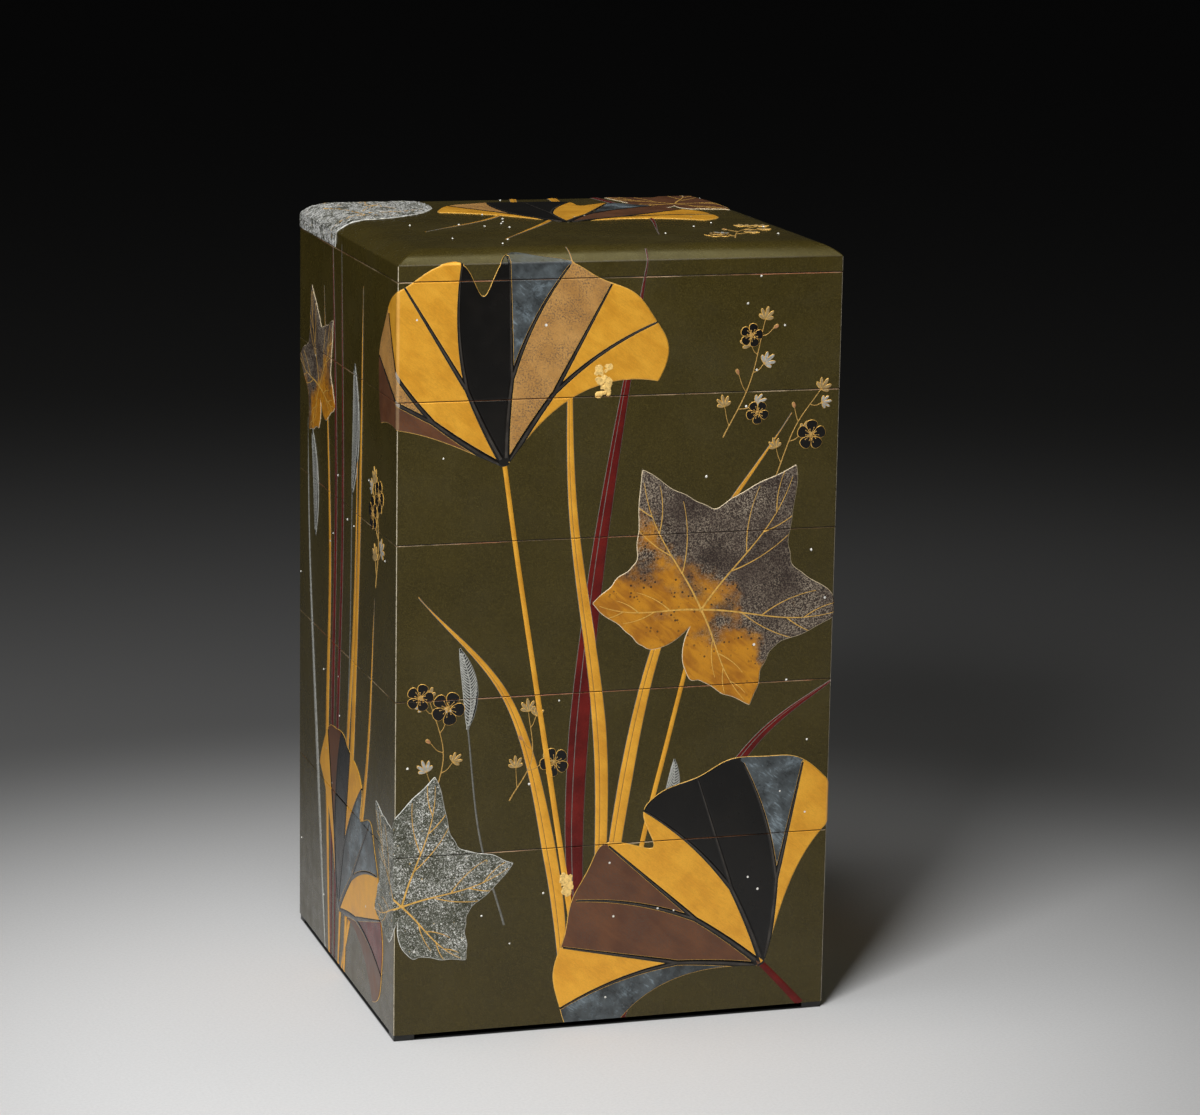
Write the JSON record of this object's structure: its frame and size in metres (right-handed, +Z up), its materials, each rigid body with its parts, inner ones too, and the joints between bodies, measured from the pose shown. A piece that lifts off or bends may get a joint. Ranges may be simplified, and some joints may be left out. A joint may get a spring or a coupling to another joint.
{
  "type": "tiered lacquer box",
  "caption": "Tall box of square lacquered wood tiers that stack under one lift-off lid, on low corner feet, with leaves and flowers in raised gold, black and silver lacquer.",
  "frame": {"origin": "middle of the footprint, on the surface that the feet stand on", "axes": "+Z up, front towards -Y, +X to the right of someone who faces the front"},
  "size_m": [0.242, 0.2284, 0.42],
  "materials": {
    "olive_lacquer": "satin",
    "gold_lacquer": "satin",
    "black_lacquer": "gloss",
    "silver_lacquer": "satin"
  },
  "bodies": {
    "root": {"bottom_tier": "olive_lacquer", "fourth_tier": "olive_lacquer", "third_tier": "olive_lacquer", "second_tier": "olive_lacquer", "top_tier": "olive_lacquer", "lid": "olive_lacquer"}
  },
  "joints": []
}
